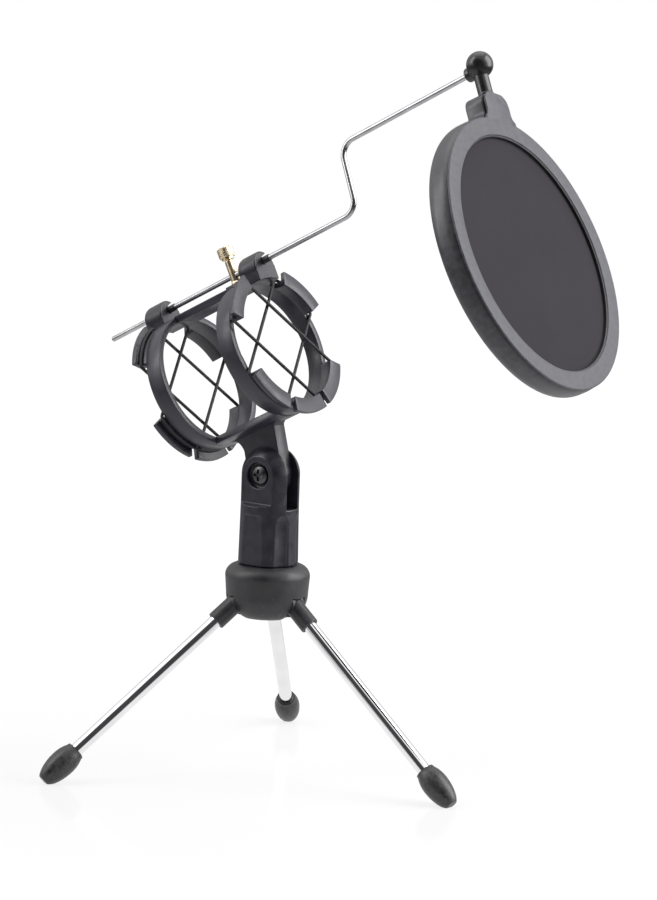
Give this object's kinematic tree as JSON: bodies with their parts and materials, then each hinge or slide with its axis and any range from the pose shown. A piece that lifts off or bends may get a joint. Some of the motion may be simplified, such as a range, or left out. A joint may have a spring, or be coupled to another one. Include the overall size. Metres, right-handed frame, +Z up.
{
  "type": "desktop microphone stand with pop filter",
  "caption": "Round mesh pop filter on a bent rod, clamped to a tilting shock-mount cradle with taut elastics on a small folding tripod.",
  "frame": {"origin": "on the table, on the hub axis", "axes": "+Z up; the microphone axis lies in the YZ plane and points towards -Y and up; +X across the cradle, along the tilt axis"},
  "size_m": [0.1832, 0.2605, 0.3249],
  "materials": {
    "hub_plastic": "moulded black plastic, satin, with a fine grain",
    "black_plastic": "moulded black plastic, matt, lightly textured",
    "rubber": "smooth black rubber",
    "chrome": "bright chromed steel",
    "dark_steel": "black-zinc screw",
    "brass": "polished yellow brass",
    "elastic": "round braided elastic cord",
    "filter_plastic": "black moulded plastic with a soft sheen",
    "face_plastic": "grey moulded plastic, satin, with a fine grain",
    "mesh": "stretched black nylon mesh",
    "gloss_black": "glossy black plastic"
  },
  "bodies": {
    "tripod_base": {"tripod_hub": "hub_plastic", "hub_base_plate": "hub_plastic", "base_plate_screw": "chrome", "leg_pivot_pins": "chrome", "hub_stud": "chrome"},
    "front_leg": {"knuckle_front": "hub_plastic", "tube_front": "chrome", "foot_front": "rubber"},
    "left_leg": {"knuckle_left": "hub_plastic", "tube_left": "chrome", "foot_left": "rubber"},
    "right_leg": {"knuckle_right": "hub_plastic", "tube_right": "chrome", "foot_right": "rubber"},
    "swivel_base": {"swivel_barrel": "black_plastic", "thread_adapter": "brass", "tilt_screw": "dark_steel", "tilt_nut": "dark_steel"},
    "cradle": {"stem_bracket": "black_plastic", "top_bridge": "black_plastic", "front_hoop": "black_plastic", "rear_hoop": "black_plastic", "front_elastics": "elastic", "rear_elastics": "elastic", "clamp_post": "brass"},
    "thumb_screw": {"thumb_screw": "brass"},
    "rod_sleeves": {"rod_sleeves": "rubber"},
    "bent_rod": {"bent_rod": "chrome"},
    "ball_post": {"ball_post": "gloss_black"},
    "filter": {"filter_front_ring": "face_plastic", "filter_rear_ring": "filter_plastic", "mesh_spacer": "filter_plastic", "front_mesh": "mesh", "rear_mesh": "mesh"}
  },
  "joints": [
    {"name": "front_leg_fold", "type": "hinge", "parent": "tripod_base", "child": "front_leg", "pos_m": [0, -0.0135, 0.0779], "axis": [1, 0, 0], "range_deg": [0, 49.5]},
    {"name": "left_leg_fold", "type": "hinge", "parent": "tripod_base", "child": "left_leg", "pos_m": [-0.01169, 0.00675, 0.0779], "axis": [-0.5, -0.866, 0], "range_deg": [0, 49.5]},
    {"name": "right_leg_fold", "type": "hinge", "parent": "tripod_base", "child": "right_leg", "pos_m": [0.01169, 0.00675, 0.0779], "axis": [-0.5, 0.866, 0], "range_deg": [0, 49.5]},
    {"name": "base_turn", "type": "hinge", "parent": "tripod_base", "child": "swivel_base", "pos_m": [0, 0, 0.1], "axis": [0, 0, 1], "range_deg": [-180, 180]},
    {"name": "cradle_tilt", "type": "hinge", "parent": "swivel_base", "child": "cradle", "pos_m": [0, 0, 0.1344], "axis": [-1, 0, 0], "range_deg": [-40, 60]},
    {"name": "thumb_screw_turn", "type": "hinge", "parent": "cradle", "child": "thumb_screw", "pos_m": [0, 0.02777, 0.22812], "axis": [0, 0.4493, 0.8934], "range_deg": [0, 720]},
    {"name": "rod_turn", "type": "hinge", "parent": "cradle", "child": "rod_sleeves", "pos_m": [0, 0.0376, 0.21383], "axis": [0, -0.8934, 0.4493], "continuous": true},
    {"name": "rod_slide", "type": "slide", "parent": "rod_sleeves", "child": "bent_rod", "axis": [0, -0.8934, 0.4493], "range_m": [-0.04, 0.02]},
    {"name": "ball_turn", "type": "hinge", "parent": "bent_rod", "child": "ball_post", "pos_m": [0.00547, -0.09873, 0.31711], "axis": [0, -0.8934, 0.4493], "range_deg": [-180, 180]},
    {"name": "filter_swivel", "type": "hinge", "parent": "ball_post", "child": "filter", "pos_m": [0.00547, -0.09873, 0.31711], "axis": [0.1736, 0.4425, 0.8798], "range_deg": [-90, 90]}
  ]
}
